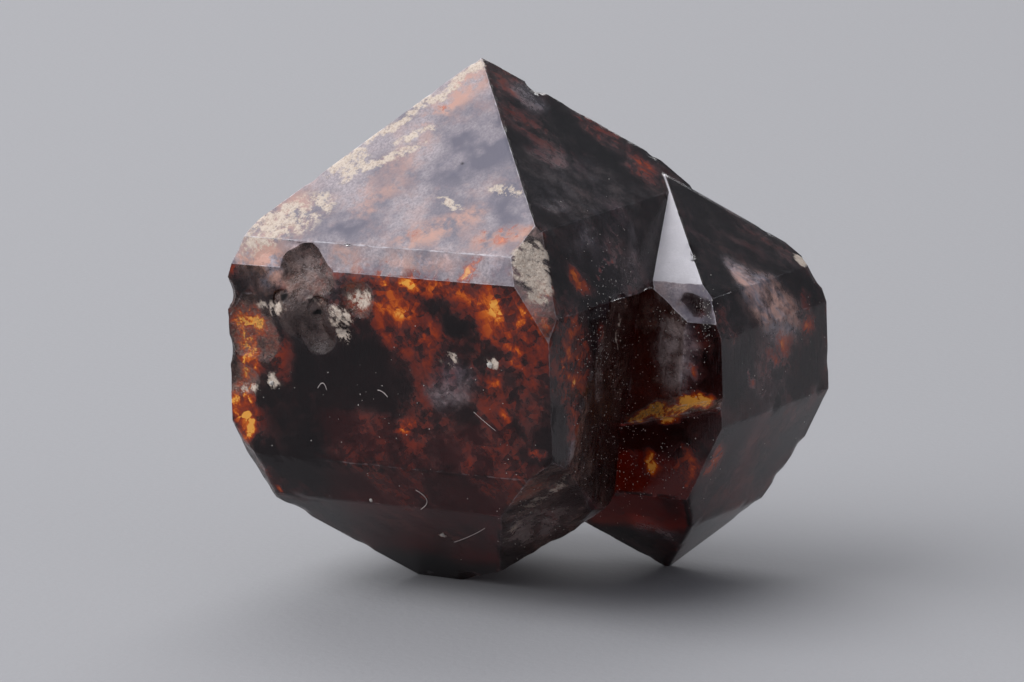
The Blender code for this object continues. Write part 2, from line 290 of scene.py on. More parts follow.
# Marks on the sides that the photograph doesn't show: azimuth of the view, then as above.
# Painted glow on those sides.
HIDDEN_PAINTED_GLOW = {
    "back_glow": (180, (520, 330), (4.2, 1.6), 15, 0.20),
    "back_flame": (180, (600, 400), (0.8, 1.4), 30, 0.26),
    "back_red": (150, (450, 420), (2.8, 2.6), 0, 0.16),
    "right_glow": (90, (540, 360), (2.8, 2.4), 0, 0.18),
    "left_glow": (-90, (520, 330), (3.2, 2.0), 20, 0.26),
    "left_flame": (-90, (470, 400), (0.6, 1.4), -20, 0.34),
}
HIDDEN_CREAM = {
    "back_crust": (180, (640, 300), (1.6, 1.0), 20, 0.50),
    "back_feather": (180, (560, 170), (2.0, 0.5), -15, 0.55),
    "left_crust": (-90, (600, 300), (1.2, 0.9), 0, 0.55),
    "left_spot_back": (-90, (540, 400), (0.6, 0.4), 0, 0.50),
}

# Cosines between the ways that a mark and a surface look: none of the mark at the first, all at the second.
ROUND_CORNERS = (0.70, 0.85)
SAME_WAY = (0.985, 0.995)

MARKS = (
    ("painted_glow", PAINTED_GLOW, HIDDEN_PAINTED_GLOW, None),
    ("haze", HAZE, {}, ROUND_CORNERS),
    ("cream", CREAM, HIDDEN_CREAM, ROUND_CORNERS),
    ("pit_shade", PAINTED_PIT_SHADE, {}, None),
    ("blush", BLUSH, {}, ROUND_CORNERS),
)
MARK_CORE, MARK_RIM = 0.45, 1.20    # a mark is full inside its core and gone past its rim
MARK_DEPTH_SHARE = 0.8              # how far it reaches into the surface, as a share of its smaller radius
LEAST_MARK_DEPTH = 0.30             # and at least this far
WANDER_SEED = 11
WANDER = ((0.28, 1.1), (0.10, 4.0))  # how far its rim wanders in mm, and lumps per mm

# Colours of the painted glow, from the near-black red-brown body to painted orange and gold glints.
PAINTED_GLOW_COLOURS = (
    (0.00, (0.0040, 0.0020, 0.0020)),
    (0.20, (0.0120, 0.0030, 0.0022)),
    (0.36, (0.0480, 0.0060, 0.0032)),
    (0.54, (0.1500, 0.0150, 0.0038)),
    (0.74, (0.3600, 0.0420, 0.0045)),
    (0.92, (0.7200, 0.1500, 0.0100)),
    (1.00, (0.9800, 0.4400, 0.0700)),
)
# Frost colours, partly painted sheen of the light on the frosted faces.
FROST_AND_SHEEN_DARK = (0.330, 0.290, 0.330)
FROST_AND_SHEEN_LIGHT = (0.660, 0.580, 0.620)
FROST_SLATE = (0.170, 0.165, 0.225)
FROST_BLUSH = (0.740, 0.430, 0.350)
# Colour of the pale faces and the pale edge lines: wear, and painted sheen and highlight.
PALE_WEAR_AND_SHEEN = (0.860, 0.840, 0.900)
CREAM_COLOUR = (0.840, 0.720, 0.610)
CREAM_SHADE = (0.560, 0.430, 0.340)
BROKEN_COLOUR = (0.170, 0.095, 0.060)
BROKEN_HAZE = (0.300, 0.215, 0.190)
# Painted shade inside pits and cavities.
PIT_SHADE_COLOUR = (0.004, 0.004, 0.004)
SPECULAR_LEVEL = 0.40
SPECULAR_TINT = (0.26, 0.24, 0.25, 1.0)  # dark, for the room that the faces mirror in the photograph
LEAST_SOLID = 0.10                  # the clearest places still give back or stop this share of the light
ZIRCON_IOR = 1.93
ABSORPTION_COLOUR = (0.90, 0.50, 0.06, 1.0)
ABSORPTION_DENSITY = 900.0

# Lumps per millimetre, detail and roughness of each noise.
NOISES = {
    "warp": (1.6, 3.0, 0.55),
    "wisps": (1.1, 4.0, 0.68),
    "grains": (7.0, 2.0, 0.70),
    "slow": (0.30, 2.0, 0.55),
    "haze": (1.6, 4.0, 0.72),
    "feather": (2.6, 4.0, 0.74),
    "edge": (3.0, 2.0, 0.55),
    "speckle": (10.0, 3.0, 0.75),
    "mottle": (0.8, 4.0, 0.70),
    "drift": (0.42, 3.0, 0.62),
    "scratches": (2.4, 2.0, 0.70),
    "broken": (3.2, 4.0, 0.72),
    "specks": (6.0, 3.0, 0.55),
    "paper": (3.0, 4.0, 0.55),
}
# Smooth steps: the range of the value that goes in, then the range that comes out.
STEPS = {
    "wisps": (0.36, 0.66, 0.0, 1.0),
    "texture": (0.55, 1.45, 0.42, 1.17),
    "base_painted_glow": (0.35, 0.65, 0.12, 0.40),
    "haze_texture": (0.32, 0.66, 0.45, 1.10),
    "keeps_frost": (-0.50, -0.15, 0.0, 1.0),
    "even_frost": (0.45, 0.85, 0.0, 0.90),
    "haze_in_glow": (0.34, 0.85, 1.0, 0.25),
    "pale_texture": (0.45, 1.10, 0.78, 1.0),
    "feather": (0.30, 0.66, -0.75, 0.45),
    "cream": (-0.05, 0.70, 0.0, 0.90),
    "near_cream": (0.0, 0.3, 0.0, 1.0),
    "edge_line_width": (0.092, 0.052, 0.0, 1.0),
    "edge_line_gaps": (0.36, 0.58, 0.40, 1.0),
    "frost_speckle": (0.25, 0.75, 0.0, 1.0),
    "frost_shade": (0.40, 0.60, 0.30, 1.0),
    "blush_mottle": (0.40, 0.62, 0.0, 1.0),
    "blush_wisps": (0.36, 0.60, 0.0, 1.0),
    "cream_speckle": (0.30, 0.56, 0.0, 1.0),
    "broken_speckle": (0.4, 0.7, 0.1, 0.8),
    "glow_solid": (0.10, 0.50, LEAST_SOLID, 0.92),
    "polish": (0.3, 0.7, 0.05, 0.16),
    "dull_specks": (0.2, 0.8, 0.6, 0.9),
}
# Euler degrees of a pattern, then how much longer it is along each axis.
SLANT = ((0.0, 38.0, 20.0), (2.4, 0.8, 0.7))
CROSS_SLANT = ((20.0, -35.0, 0.0), (1.8, 0.8, 0.6))
SCRATCH_LINES = ((0.0, 0.0, 30.0), (0.15, 0.15, 2.5))
WARP = 0.22                         # in mm, how far patterns inside wander
NOISE_MIDDLE = (0.5, 0.5, 0.5)
FLAKES_PER_MM, SMALL_FLAKES_PER_MM = 0.9, 3.4
TEXTURE_FLOOR = 0.30                # brightness of the painted glow inside, and what each layer adds to it
TEXTURE_SHARES = {"flakes": 0.30, "small_flakes": 0.44, "wisps": 0.46, "grains": 0.20}
PIT_GAIN, PIT_START = 2.0, -0.5     # a pit starts at a strength of 0.25 and is full at 0.75
EDGE_UNEVENNESS = 0.10              # in mm, of the width of the pale line along the edges, wear and painted highlight
# How strong the pale edge line is on frosted faces and anywhere: wear, and a painted highlight that is
# strongest on the frosted faces turned to the light.
WORN_AND_HIGHLIT_BY_FROST, WORN_AND_HIGHLIT_ANYWHERE = 0.75, 0.08
BLUSH_ANYWHERE = 0.25
BROKEN_HAZE_SHARE = 0.7
HAZE_SOLID = 0.94
HAZE_ROUGHNESS, CREAM_ROUGHNESS, PIT_ROUGHNESS = 0.44, 0.62, 0.90
BUMP_DEPTHS = {"speckle": 0.014, "feather": 0.060, "scratches": 0.006, "broken": 0.10}
SPECKLE_BY_HAZE, SPECKLE_ANYWHERE = 0.8, 0.04


# ---------------------------------------------------------------- places
def view_axes(azimuth=0.0):
    """The camera's right, up and forward directions, for a view from this azimuth in degrees."""
    turn = Matrix.Rotation(math.radians(azimuth), 3, "Z")
    sine, cosine = math.sin(CAMERA_ELEVATION), math.cos(CAMERA_ELEVATION)
    return turn @ Vector((1, 0, 0)), turn @ Vector((0, sine, cosine)), turn @ Vector((0, cosine, -sine))


def pixel_ray(pixel, azimuth=0.0):
    """The camera's place and the direction in which it sees this pixel."""
    right, up, forward = view_axes(azimuth)
    scale = MM / PIXELS_PER_MM
    across = (pixel[0] - LOOK_AT_PIXEL[0]) * scale
    above = (LOOK_AT_PIXEL[1] - pixel[1]) * scale
    start = LOOK_AT - forward * CAMERA_DISTANCE
    return start, (LOOK_AT + right * across + up * above - start).normalized()


class Surface:
    """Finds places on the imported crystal."""

    def __init__(self, node):
        self.tree = BVHTree.FromPolygons(
            [vertex.co.copy() for vertex in node.data.vertices],
            [tuple(face.vertices) for face in node.data.polygons],
        )

    def seen_at(self, pixel, azimuth=0.0):
        """The point and outward normal that show at a pixel, or the nearest ones where nothing shows."""
        start, along = pixel_ray(pixel, azimuth)
        point, normal, _, _ = self.tree.ray_cast(start, along)
        if point is None:
            point, normal, _, _ = self.tree.find_nearest(start + along * CAMERA_DISTANCE)
        return point, normal

    def frame_at(self, pixel, turn, azimuth=0.0):
        """A matrix with its origin on the surface, X along the mark, Y across it and Z out of the face."""
        point, normal = self.seen_at(pixel, azimuth)
        right = view_axes(azimuth)[0]
        along = (right - normal * right.dot(normal)).normalized()
        across = normal.cross(along)
        angle = math.radians(turn)
        x_axis = along * math.cos(angle) + across * math.sin(angle)
        y_axis = normal.cross(x_axis)
        rotation = Matrix((x_axis, y_axis, normal)).transposed()
        return Matrix.Translation(point) @ rotation.to_4x4()


def lattice_normal(dip, side):
    """The outward normal of a crystal face, as it stands."""
    turn = math.radians(FRONT_LEFT_AZIMUTH + 90 * SIDES.index(side))
    tip = math.radians(dip)
    level = Vector((math.cos(turn) * math.sin(tip), math.sin(turn) * math.sin(tip), math.cos(tip)))
    return Matrix.Rotation(-LEAN, 3, "Y") @ level


# ---------------------------------------------------------------- fine mesh
def sharp_edge_points(bm):
    """Points along every long sharp edge, EDGE_SAMPLE apart."""
    points = []
    for edge in bm.edges:
        if edge.calc_length() > CRYSTAL_EDGE * MM and edge.calc_face_angle(0.0) > SHARP_ANGLE:
            start, end = (vertex.co for vertex in edge.verts)
            steps = max(1, math.ceil((end - start).length / (EDGE_SAMPLE * MM)))
            points += [start.lerp(end, step / steps) for step in range(steps + 1)]
    return points


def refine(bm):
    """Halves long edges, pass by pass, and keeps every face flat."""
    for _ in range(REFINING_PASSES):
        long_edges = [edge for edge in bm.edges if edge.calc_length() > LONGEST_EDGE * MM]
        if not long_edges:
            return
        bmesh.ops.subdivide_edges(bm, edges=long_edges, cuts=1)
        bmesh.ops.triangulate(bm, faces=[face for face in bm.faces if len(face.verts) > 3])


def face_frost(normals):
    """How frosted each face is, and whether it is broken, from the way that it looks."""
    frost = np.full(len(normals), BROKEN_FROST)
    broken = np.ones(len(normals))
    closest = math.cos(SAME_FACE)
    for form, dip in DIPS.items():
        for side in SIDES:
            same = normals @ np.array(lattice_normal(dip, side)) > closest
            frost[same] = FROST_AND_SHEEN_OF_FACE.get((form, side), OTHER_FROST)
            broken[same] = 0.0
    return frost, broken


def store(mesh, name, domain, values):
    """Keeps one number for each vertex or face, for the material to read."""
    layer = mesh.attributes.new(name, "FLOAT", domain)
    layer.data.foreach_set("value", np.asarray(values, np.float32))


def roughen(points, normals, broken, edge_distance):
    """Moves points in or out by the relief of broken and grown surfaces, and chips the edges."""
    moved = points.copy()
    for index in range(len(points)):
        spot = Vector(points[index] / MM)
        shift = RELIEF["face"][0] * noise.noise(spot * RELIEF["face"][1])
        if broken[index] > 0:
            for key in ("broken", "broken_fine"):
                depth, scale = RELIEF[key]
                shift += broken[index] * depth * noise.noise(spot * scale)
        near = 1 - edge_distance[index] / CHIP_REACH
        if near > 0:
            bite = noise.noise(spot * CHIP_SCALE + CHIP_OFFSET) - CHIP_THRESHOLD
            shift -= CHIP_DEPTH * max(0.0, bite) * near
        moved[index] += normals[index] * shift * MM
    return moved


def mark_strength(points, frame, radii):
    """How far inside an oval mark on the surface each point is: 1 near its centre and 0 outside."""
    depth = max(LEAST_MARK_DEPTH, MARK_DEPTH_SHARE * min(radii))
    scale = np.array([*radii, depth]) * MM
    turn = np.array(frame.to_3x3())
    away = np.linalg.norm((points - np.array(frame.translation)) @ turn / scale, axis=1)
    inside = np.clip((MARK_RIM - away) / (MARK_RIM - MARK_CORE), 0, 1)
    return inside * inside * (3 - 2 * inside)


def add_marks(surface, points, normals, marks, hidden, hold):
    """The sum of a set of marks at each point, each held to surfaces that look about the way it does."""
    total = np.zeros(len(points))
    rows = [(0.0, *row) for row in marks.values()] + list(hidden.values())
    for azimuth, pixel, radii, turn, amount in rows:
        frame = surface.frame_at(pixel, turn, azimuth)
        strength = mark_strength(points, frame, radii)
        if hold is not None:
            alike = normals @ np.array(frame.col[2].to_3d())
            strength = strength * np.clip((alike - hold[0]) / (hold[1] - hold[0]), 0, 1)
        total += amount * strength
    return total


def keep_inside_box(mesh):
    """Pulls in whatever stands past the box of the CAD crystal."""
    low, high = (np.array(corner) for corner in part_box(NODE))
    points = np.empty(len(mesh.vertices) * 3)
    mesh.vertices.foreach_get("co", points)
    mesh.vertices.foreach_set("co", np.clip(points.reshape(-1, 3), low, high).ravel())


def wandering(points):
    """The points moved about by noise, so that the rims of marks wander."""
    noise.seed_set(WANDER_SEED)     # noise_vector would otherwise differ from run to run
    moved = points.copy()
    for index, point in enumerate(points):
        spot = Vector(point / MM)
        for size, scale in WANDER:
            moved[index] += np.array(noise.noise_vector(spot * scale)) * size * MM
    return moved


def fine_crystal(node, surface):
    """The crystal with enough points for its fine relief, and what its material reads from it."""
    bm = bmesh.new()
    bm.from_mesh(node.data)
    bmesh.ops.remove_doubles(bm, verts=bm.verts[:], dist=WELD_DISTANCE * MM)
    edges = sharp_edge_points(bm)
    refine(bm)
    bmesh.ops.recalc_face_normals(bm, faces=bm.faces[:])
    mesh = bpy.data.meshes.new("crystal")
    bm.to_mesh(mesh)
    bm.free()

    finder = KDTree(len(edges))
    for index, point in enumerate(edges):
        finder.insert(point, index)
    finder.balance()
    count = len(mesh.vertices)
    points, normals = np.empty(count * 3), np.empty(count * 3)
    mesh.vertices.foreach_get("co", points)
    mesh.vertex_normals.foreach_get("vector", normals)
    points, normals = points.reshape(-1, 3), normals.reshape(-1, 3)
    face_normals = np.array([face.normal for face in mesh.polygons])
    corners = np.array([tuple(face.vertices) for face in mesh.polygons])
    edge_distance = np.array([finder.find(Vector(point))[2] / MM for point in points])
    frost, broken_faces = face_frost(face_normals)
    total = np.bincount(corners.ravel(), minlength=count)
    broken = np.bincount(corners.ravel(), np.repeat(broken_faces, 3), count) / total
    relief = np.where(broken > ALL_BROKEN, 1.0, RIM_RELIEF * broken)
    moved = roughen(points, normals, relief, edge_distance)
    mesh.vertices.foreach_set("co", moved.ravel())
    keep_inside_box(mesh)
    store(mesh, "edge_distance", "POINT", np.minimum(edge_distance, 1.0))
    store(mesh, "frost", "FACE", frost)
    store(mesh, "broken", "POINT", broken)
    wander = wandering(points)
    for name, marks, hidden, hold in MARKS:
        store(mesh, name, "POINT", add_marks(surface, wander, normals, marks, hidden, hold))
    middles = points[corners].mean(axis=1)
    # The pale faces; the bright facet's paleness is painted sheen.
    store(mesh, "pale", "FACE", add_marks(surface, middles, face_normals, PALE_AND_SHEEN, {}, SAME_WAY))
    mesh.shade_smooth()
    mesh.set_sharp_from_angle(angle=SHADE_SHARP_ANGLE)
    mesh.update()
    return mesh


# ---------------------------------------------------------------- materials
class Graph:
    """Adds nodes to a material and returns their output sockets."""

    def __init__(self, name):
        self.material = bpy.data.materials.new(name)
        self.material.use_nodes = True
        self.tree = self.material.node_tree
        self.shader = self.tree.nodes["Principled BSDF"]
        self.output = self.tree.nodes["Material Output"]
        coordinates = self.tree.nodes.new("ShaderNodeTexCoord").outputs["Object"]
        self.place = self.vector("SCALE", coordinates, scale=1 / MM)

    def plug(self, socket, value):
        """Links a socket or sets a plain value."""
        if isinstance(value, bpy.types.NodeSocket):
            self.tree.links.new(value, socket)
        elif isinstance(value, tuple) and len(value) == 3 and socket.type == "RGBA":
            socket.default_value = (*value, 1.0)
        else:
            socket.default_value = value

    def math(self, operation, first, second=0.0, third=0.0, clamp=False):
        """One Math node."""
        node = self.tree.nodes.new("ShaderNodeMath")
        node.operation = operation
        node.use_clamp = clamp
        for socket, value in zip(node.inputs, (first, second, third)):
            self.plug(socket, value)
        return node.outputs[0]

    def vector(self, operation, first, second=(0.0, 0.0, 0.0), scale=1.0):
        """One Vector Math node."""
        node = self.tree.nodes.new("ShaderNodeVectorMath")
        node.operation = operation
        self.plug(node.inputs[0], first)
        if operation == "SCALE":
            self.plug(node.inputs["Scale"], scale)
        else:
            self.plug(node.inputs[1], second)
        return node.outputs["Vector"]

    def mix(self, factor, first, second):
        """Mixes two colours."""
        node = self.tree.nodes.new("ShaderNodeMix")
        node.data_type = "RGBA"
        self.plug(node.inputs["Factor"], factor)
        for socket, value in zip([s for s in node.inputs if s.type == "RGBA"], (first, second)):
            self.plug(socket, value)
        return next(s for s in node.outputs if s.type == "RGBA")

    def blend(self, factor, first, second):
        """Mixes two numbers."""
        return self.math("MULTIPLY_ADD", factor, self.math("SUBTRACT", second, first), first)

    def step(self, name, value):
        """One of the smooth steps in STEPS."""
        node = self.tree.nodes.new("ShaderNodeMapRange")
        node.interpolation_type = "SMOOTHSTEP"
        for socket, number in zip(node.inputs, (value, *STEPS[name])):
            self.plug(socket, number)
        return node.outputs[0]

    def noise(self, name, place=None, colour=False):
        """One of the noises in NOISES."""
        node = self.tree.nodes.new("ShaderNodeTexNoise")
        self.plug(node.inputs["Vector"], place or self.place)
        for socket, value in zip(("Scale", "Detail", "Roughness"), NOISES[name]):
            node.inputs[socket].default_value = value
        return node.outputs["Color" if colour else "Fac"]

    def cells(self, scale, place):
        """Flat cells of random brightness, with this many a millimetre."""
        node = self.tree.nodes.new("ShaderNodeTexVoronoi")
        self.plug(node.inputs["Vector"], place)
        node.inputs["Scale"].default_value = scale
        return node.outputs["Color"]

    def stretched(self, turn, stretch, place=None):
        """Coordinates that are turned by Euler degrees, then stretched along each axis."""
        node = self.tree.nodes.new("ShaderNodeMapping")
        node.vector_type = "TEXTURE"
        self.plug(node.inputs["Vector"], place or self.place)
        node.inputs["Rotation"].default_value = [math.radians(angle) for angle in turn]
        node.inputs["Scale"].default_value = stretch
        return node.outputs[0]

    def ramp(self, value, stops):
        """A colour ramp."""
        node = self.tree.nodes.new("ShaderNodeValToRGB")
        self.plug(node.inputs[0], value)
        elements = node.color_ramp.elements
        elements[0].color = (*stops[0][1], 1.0)
        elements[1].color = (*stops[-1][1], 1.0)
        for position, colour in stops[1:-1]:
            elements.new(position).color = (*colour, 1.0)
        return node.outputs[0]

    def attribute(self, name):
        """A number kept on the mesh."""
        node = self.tree.nodes.new("ShaderNodeAttribute")
        node.attribute_name = name
        return node.outputs["Fac"]

    def bump(self, height, depth, normal=None, strength=1.0):
        """A Bump node whose full height is this many millimetres, where its strength is 1."""
        node = self.tree.nodes.new("ShaderNodeBump")
        node.inputs["Distance"].default_value = depth * MM
        self.plug(node.inputs["Strength"], strength)
        self.plug(node.inputs["Height"], height)
        if normal is not None:
            self.plug(node.inputs["Normal"], normal)
        return node.outputs[0]


def painted_glow_inside(graph, warped, slant, wisps):
    """How much painted glow stands for the warm light that slanting flakes, wisps and fine grains inside give
    back.
    """
    layers = {
        "flakes": graph.cells(FLAKES_PER_MM, slant),
        "small_flakes": graph.cells(SMALL_FLAKES_PER_MM, graph.stretched(*CROSS_SLANT, warped)),
        "wisps": graph.step("wisps", wisps),
        "grains": graph.noise("grains"),
    }
    texture = TEXTURE_FLOOR
    for name, layer in layers.items():
        texture = graph.math("MULTIPLY_ADD", layer, TEXTURE_SHARES[name], texture)
    # A slowly varying painted glow everywhere.
    base_painted_glow = graph.step("base_painted_glow", graph.noise("slow"))
    painted_glow = graph.math("ADD", graph.attribute("painted_glow"), base_painted_glow)
    return graph.math("MULTIPLY", painted_glow, graph.step("texture", texture), clamp=True)


def haze_cover(graph, painted_glow, pale):
    """How much haze or frost covers each place. Frosted faces are covered evenly, painted glows show through,
    and the pale faces are covered too, the bright facet as painted sheen.
    """
    full = graph.math("ADD", graph.attribute("haze"), graph.attribute("frost"))
    texture = graph.step("haze_texture", graph.noise("haze"))
    haze = graph.math("MULTIPLY", full, texture, clamp=True)
    keeps_frost = graph.step("keeps_frost", graph.attribute("haze"))
    even = graph.math("MULTIPLY", graph.step("even_frost", graph.attribute("frost")), keeps_frost)
    haze = graph.math("MAXIMUM", haze, even)
    haze = graph.math("MULTIPLY", haze, graph.step("haze_in_glow", painted_glow))
    return graph.math("MAXIMUM", haze, graph.math("MULTIPLY", pale, graph.step("pale_texture", texture)))


def cream_cover(graph, feather):
    """How much cream deposit covers each place."""
    near = graph.attribute("cream")
    cream = graph.math("ADD", near, graph.step("feather", feather))
    return graph.math("MULTIPLY", graph.step("cream", cream), graph.step("near_cream", near))


def worn_and_highlit_edges(graph, wisps):
    """How pale each place is along the edges, from wear and from a painted highlight."""
    width = graph.math("MULTIPLY_ADD", graph.noise("edge"), EDGE_UNEVENNESS, graph.attribute("edge_distance"))
    share = graph.math("MULTIPLY_ADD", graph.attribute("frost"), WORN_AND_HIGHLIT_BY_FROST, WORN_AND_HIGHLIT_ANYWHERE)
    worn_and_highlit = graph.math("MULTIPLY", graph.step("edge_line_width", width), share)
    return graph.math("MULTIPLY", worn_and_highlit, graph.step("edge_line_gaps", wisps))


def frost_and_sheen_colour(graph, speckle, mottle, wisps, broken, pale):
    """The colour of haze and frost, partly painted sheen: speckled lilac grey, slate in places and pink in
    others, and paler on the pale faces, the bright facet as painted sheen.
    """
    colour = graph.mix(graph.step("frost_speckle", speckle), FROST_AND_SHEEN_DARK, FROST_AND_SHEEN_LIGHT)
    slate = graph.math("MULTIPLY", graph.attribute("blush"), -1.0, clamp=True)
    shade = graph.math("SUBTRACT", graph.step("frost_shade", graph.noise("drift")), slate, clamp=True)
    colour = graph.mix(shade, FROST_SLATE, colour)
    anywhere = graph.step("blush_mottle", mottle)
    blush = graph.math("MULTIPLY_ADD", anywhere, BLUSH_ANYWHERE, graph.attribute("blush"))
    blush = graph.math("MULTIPLY", blush, graph.step("blush_wisps", wisps), clamp=True)
    colour = graph.mix(blush, colour, FROST_BLUSH)
    colour = graph.mix(graph.math("MULTIPLY", broken, BROKEN_HAZE_SHARE), colour, BROKEN_HAZE)
    return graph.mix(pale, colour, PALE_WEAR_AND_SHEEN)


def relief_normal(graph, speckle, feather, haze, cream, broken):
    """Bumps too fine for the mesh: frost, deposits, scratches and broken surfaces."""
    by_haze = graph.math("MULTIPLY_ADD", haze, SPECKLE_BY_HAZE, SPECKLE_ANYWHERE, clamp=True)
    scratches = graph.noise("scratches", place=graph.stretched(*SCRATCH_LINES))
    normal = graph.bump(speckle, BUMP_DEPTHS["speckle"], strength=by_haze)
    normal = graph.bump(feather, BUMP_DEPTHS["feather"], normal, strength=cream)
    normal = graph.bump(scratches, BUMP_DEPTHS["scratches"], normal)
    return graph.bump(graph.noise("broken"), BUMP_DEPTHS["broken"], normal, strength=broken)


def zircon():
    """Clear dark red-brown crystal with fractures, haze, frosted faces and cream deposits. The light that the
    fractures give back is painted glow, the frosted faces are partly painted sheen, and pits are painted
    shade.
    """
    graph = Graph("zircon")
    wander = graph.vector("SUBTRACT", graph.noise("warp", colour=True), NOISE_MIDDLE)
    warped = graph.vector("ADD", graph.place, graph.vector("SCALE", wander, scale=WARP))
    slant = graph.stretched(*SLANT, warped)
    wisps = graph.noise("wisps", place=slant)
    speckle = graph.noise("speckle")
    mottle = graph.noise("mottle")
    feather = graph.noise("feather", place=graph.stretched(*SLANT))
    broken = graph.attribute("broken")
    # The pale faces; the bright facet's paleness is painted sheen.
    pale = graph.attribute("pale")

    painted_glow = painted_glow_inside(graph, warped, slant, wisps)
    haze = haze_cover(graph, painted_glow, pale)
    cream = cream_cover(graph, feather)
    # Pale lines along the edges: wear and a painted highlight.
    worn_and_highlit = worn_and_highlit_edges(graph, wisps)
    # Pits and cavities, painted black as the shade inside them.
    pit_shade = graph.math("MULTIPLY_ADD", graph.attribute("pit_shade"), PIT_GAIN, PIT_START, clamp=True)

    # The frost colour, partly painted sheen.
    frost = frost_and_sheen_colour(graph, speckle, mottle, wisps, broken, pale)
    cream_colour = graph.mix(graph.step("cream_speckle", speckle), CREAM_SHADE, CREAM_COLOUR)
    broken_share = graph.math("MULTIPLY", broken, graph.step("broken_speckle", speckle))
    # The colour starts from the painted glow.
    colour = graph.ramp(painted_glow, PAINTED_GLOW_COLOURS)
    for share, over in (
        (broken_share, BROKEN_COLOUR),
        (haze, frost),
        (cream, cream_colour),
        (worn_and_highlit, PALE_WEAR_AND_SHEEN),
        (pit_shade, PIT_SHADE_COLOUR),
    ):
        colour = graph.mix(share, colour, over)

    solid = graph.math("MAXIMUM", graph.math("MULTIPLY", haze, HAZE_SOLID), cream)
    for other in (worn_and_highlit, graph.step("glow_solid", painted_glow), pit_shade):
        solid = graph.math("MAXIMUM", solid, other)
    clear = graph.math("SUBTRACT", 1.0, solid, clamp=True)

    rough = graph.step("polish", mottle)
    for share, roughness in ((haze, HAZE_ROUGHNESS), (cream, CREAM_ROUGHNESS), (pit_shade, PIT_ROUGHNESS)):
        rough = graph.blend(share, rough, roughness)

    shader = graph.shader.inputs
    graph.plug(shader["Base Color"], colour)
    graph.plug(shader["Roughness"], rough)
    graph.plug(shader["Transmission Weight"], clear)
    graph.plug(shader["Normal"], relief_normal(graph, speckle, feather, haze, cream, broken))
    shader["IOR"].default_value = ZIRCON_IOR
    shader["Specular IOR Level"].default_value = SPECULAR_LEVEL
    shader["Specular Tint"].default_value = SPECULAR_TINT
    absorption = graph.tree.nodes.new("ShaderNodeVolumeAbsorption")
    absorption.inputs["Color"].default_value = ABSORPTION_COLOUR
    absorption.inputs["Density"].default_value = ABSORPTION_DENSITY
    graph.tree.links.new(absorption.outputs[0], graph.output.inputs["Volume"])
    return graph.material


def add_piece(name, mesh, material):
    """A piece of the object that moves with it."""
    piece = bpy.data.objects.new(name, mesh)
    bpy.context.scene.collection.objects.link(piece)
    piece.data.materials.append(material)
    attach(piece, BODY)
    return piece


# ---------------------------------------------------------------- dust, lint and loose grains
# Centre and spread in pixels, number of grains, and azimuth of the view that they are scattered in.
DUST = {
    "groove": ((610, 390), (18, 70), 420, 0),
    "lilac_face": ((668, 340), (20, 32), 170, 0),
    "lower_groove": ((640, 468), (28, 24), 130, 0),
    "right_wall": ((598, 330), (9, 34), 90, 0),
    "speckled_facet": ((708, 320), (4, 18), 60, 0),
    "front_face": ((410, 400), (80, 50), 60, 0),
    "crust": ((530, 520), (24, 24), 90, 0),
    "right_side": ((540, 400), (90, 70), 90, 90),
    "back": ((500, 380), (110, 80), 110, 180),
    "left_side": ((500, 380), (80, 70), 90, -90),
}
DUST_SEED = 17
GRAIN_RADIUS = (0.009, 0.026)       # in mm, least and most
GRAIN_WIDTH, GRAIN_HEIGHT, GRAIN_JITTER = (0.7, 1.3), (0.4, 0.8), (0.8, 1.2)    # as shares of the radius
GRAIN_COLOUR = (0.66, 0.62, 0.58)
LINT = {                            # pixels that each fibre lies along, and its radius in mm
    "curl": (((318, 388), (323, 383), (327, 390)), 0.014),
    "short": (((378, 390), (383, 392), (388, 397)), 0.016),
    "hook": (((416, 490), (427, 500), (421, 509)), 0.012),
    "straight": (((454, 542), (470, 536), (485, 528)), 0.009),
    "fine": (((474, 412), (484, 421), (496, 431)), 0.009),
}
LINT_COLOUR = (0.70, 0.62, 0.60)
FIBRE_STEPS, FIBRE_SIDES = 14, 6
SPECK_SHADE, SPECK_BUMP = 0.6, 0.01
GRAINS = {                          # pixel and radius in mm of larger grains
    "white_bead": ((490, 365), 0.17),
    "cream_grain": ((443, 535), 0.12),
    "left_grain": ((272, 383), 0.13),
    "band_grain": ((371, 500), 0.07),
}


def add_grain(bm, place, normal, radius, chance):
    """A small uneven grain that lies on the surface."""
    made = bmesh.ops.create_icosphere(bm, subdivisions=1, radius=radius * MM)
    stretch = Vector([chance.uniform(*limits) for limits in (GRAIN_WIDTH, GRAIN_WIDTH, GRAIN_HEIGHT)])
    turn = normal.to_track_quat("Z", "Y").to_matrix() @ Matrix.Rotation(chance.uniform(0, math.pi), 3, "Z")
    for vertex in made["verts"]:
        jitter = chance.uniform(*GRAIN_JITTER)
        vertex.co = place + turn @ (vertex.co * jitter * stretch)


def dust_mesh(surface):
    """Dust and loose grains as one mesh."""
    chance = random.Random(DUST_SEED)
    bm = bmesh.new()
    for centre, spread, count, azimuth in DUST.values():
        for _ in range(count):
            pixel = [chance.gauss(middle, width) for middle, width in zip(centre, spread)]
            radius = chance.uniform(*GRAIN_RADIUS)
            place, normal = surface.seen_at(pixel, azimuth)
            add_grain(bm, place, normal, radius, chance)
    for pixel, radius in GRAINS.values():
        add_grain(bm, *surface.seen_at(pixel), radius, chance)
    mesh = bpy.data.meshes.new("dust")
    bm.to_mesh(mesh)
    bm.free()
    keep_inside_box(mesh)
    return mesh


